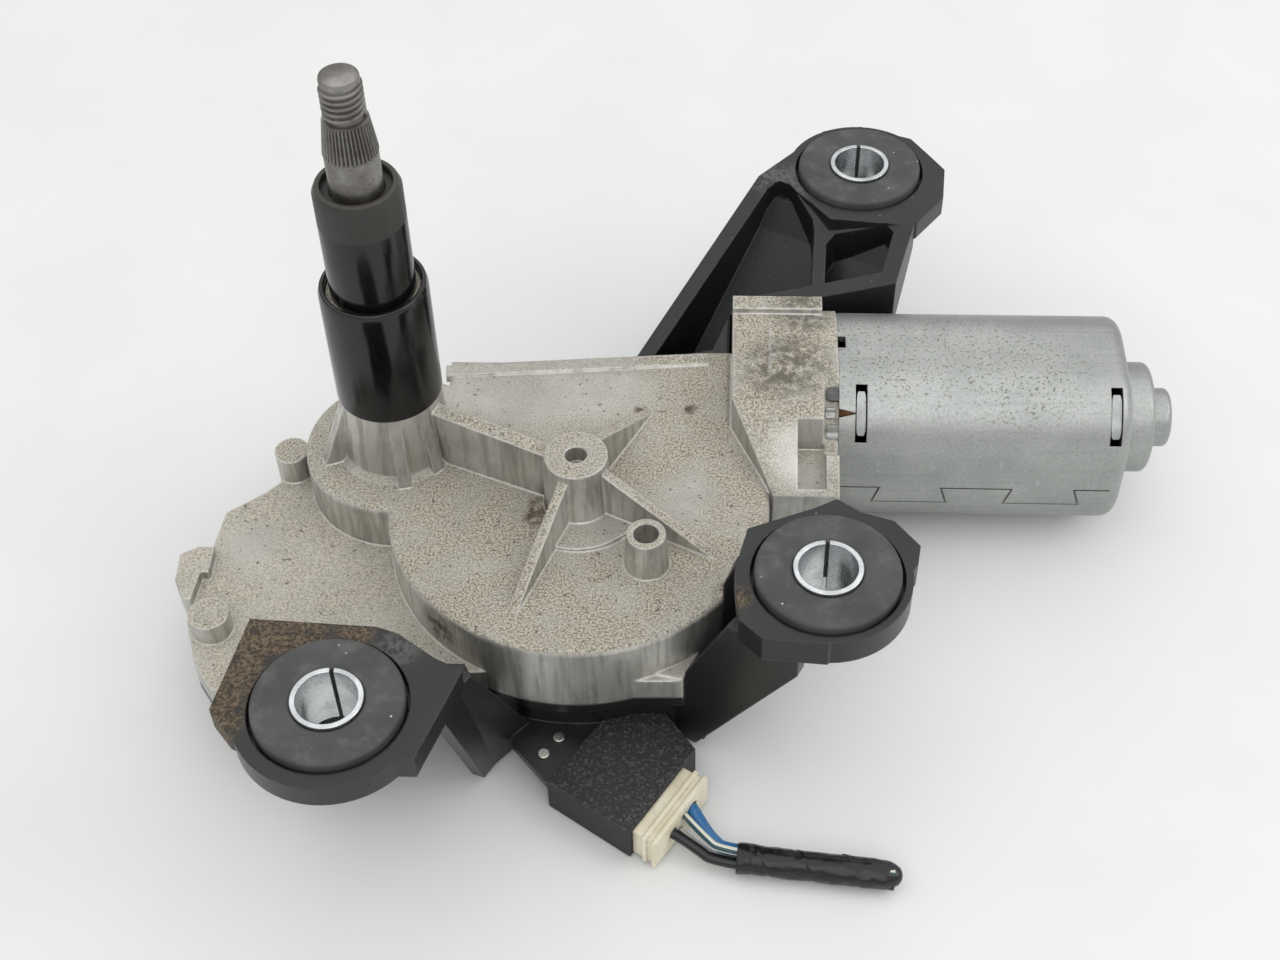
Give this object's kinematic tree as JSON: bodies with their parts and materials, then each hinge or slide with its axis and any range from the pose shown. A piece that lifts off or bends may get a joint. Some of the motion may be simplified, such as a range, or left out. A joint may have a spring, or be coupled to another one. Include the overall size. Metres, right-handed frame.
{
  "type": "rear wiper motor",
  "caption": "Rear wiper gearmotor: die-cast gear case with output spindle, steel-canned motor, moulded cover with rubber-cushioned mounting ears, and a short wired plug.",
  "frame": {"origin": "on the output spindle's axis, in the plane of the top faces of the mounting sleeves", "axes": "+Z along the output spindle towards the wiper arm; +X along the electric motor, from the worm's tail to the motor's closed end; +Y towards the motor's side"},
  "size_m": [0.2052, 0.1821, 0.1235],
  "materials": {
    "casting": "die-cast, dusty and rough",
    "cover_plastic": "black glass-filled nylon, satin",
    "connector_plastic": "black, grained",
    "collar_plastic": "black, glossy",
    "gear_plastic": "off-white acetal",
    "cream_plastic": "cream, slightly dirty",
    "can_steel": "zinc plated, dull",
    "bright_steel": "bright",
    "machined_steel": "turned",
    "magnet": "dark grey ferrite",
    "carbon": "carbon",
    "bronze": "sintered bronze",
    "copper": "enamelled copper",
    "brass": "sheet",
    "grommet_rubber": "grey-black, matte",
    "seal_rubber": "black",
    "wire_black": "insulation",
    "wire_white": "insulation with a thin dark stripe",
    "wire_blue": "insulation",
    "tape": "wound insulating tape"
  },
  "bodies": {
    "frame": {"gear_housing": "casting", "cover_bracket": "cover_plastic", "connector_housing": "connector_plastic", "contact_plate": "cover_plastic", "contact_fingers": "brass", "terminal_rivets": "bright_steel", "cover_screws": "bright_steel", "motor_can": "can_steel", "rear_bearing": "bronze", "front_bearing": "bronze", "tail_bush": "bronze", "spindle_bush_upper": "bronze", "spindle_bush_lower": "bronze", "bearing_retainer": "bright_steel", "thrust_pad": "gear_plastic", "thrust_screw": "bright_steel", "brush_plate": "gear_plastic", "brushes": "carbon", "brush_springs": "bright_steel", "magnets": "magnet", "magnet_clips": "bright_steel", "wheel_axle": "machined_steel", "axle_clip": "bright_steel", "wheel_washer": "bright_steel", "spindle_washer": "bright_steel", "spindle_seal": "seal_rubber", "upper_collar": "collar_plastic", "lower_collar": "collar_plastic", "grommet_left": "grommet_rubber", "grommet_right": "grommet_rubber", "grommet_rear": "grommet_rubber", "sleeve_left": "bright_steel", "sleeve_right": "bright_steel", "sleeve_rear": "bright_steel", "plug": "cream_plastic", "connector_pins": "brass", "wire_black": "wire_black", "wire_white_upper": "wire_white", "wire_white_lower": "wire_white", "wire_blue": "wire_blue", "tape_wrap": "tape"},
    "rotor": {"armature_shaft": "machined_steel", "armature_core": "machined_steel", "armature_windings": "copper", "commutator": "copper"},
    "wheel": {"worm_wheel": "gear_plastic", "crank_pin": "machined_steel", "park_ring": "brass"},
    "spindle": {"output_spindle": "machined_steel", "spindle_pinion": "machined_steel", "spindle_clip": "bright_steel"},
    "link": {"link_plate": "bright_steel", "sector_pin": "machined_steel"},
    "rod": {"sector_rod": "machined_steel"}
  },
  "joints": [
    {"name": "rotor_spin", "type": "hinge", "parent": "frame", "child": "rotor", "pos_m": [0, 0.0198, -0.0283], "axis": [1, 0, 0], "continuous": true},
    {"name": "wheel_spin", "type": "hinge", "parent": "frame", "child": "wheel", "pos_m": [0.0384, -0.0158, -0.0283], "axis": [0, 0, 1], "continuous": true},
    {"name": "spindle_sweep", "type": "hinge", "parent": "frame", "child": "spindle", "pos_m": [0, 0, 0], "axis": [0, 0, 1], "range_deg": [0, 117.8]},
    {"name": "link_swing", "type": "hinge", "parent": "frame", "child": "link", "pos_m": [0, 0, -0.0412], "axis": [0, 0, 1], "range_deg": [0, 33.6]},
    {"name": "rod_swing", "type": "hinge", "parent": "link", "child": "rod", "pos_m": [-0.01409, -0.02185, -0.0374], "axis": [0, 0, 1], "range_deg": [-36.1, 0]}
  ],
  "couplings": [
    {"joint": "wheel_spin", "follows": "rotor_spin", "ratio": 0.02},
    {"joint": "link_swing", "follows": "spindle_sweep", "ratio": 0.285},
    {"joint": "rod_swing", "follows": "spindle_sweep", "ratio": -0.30643}
  ]
}
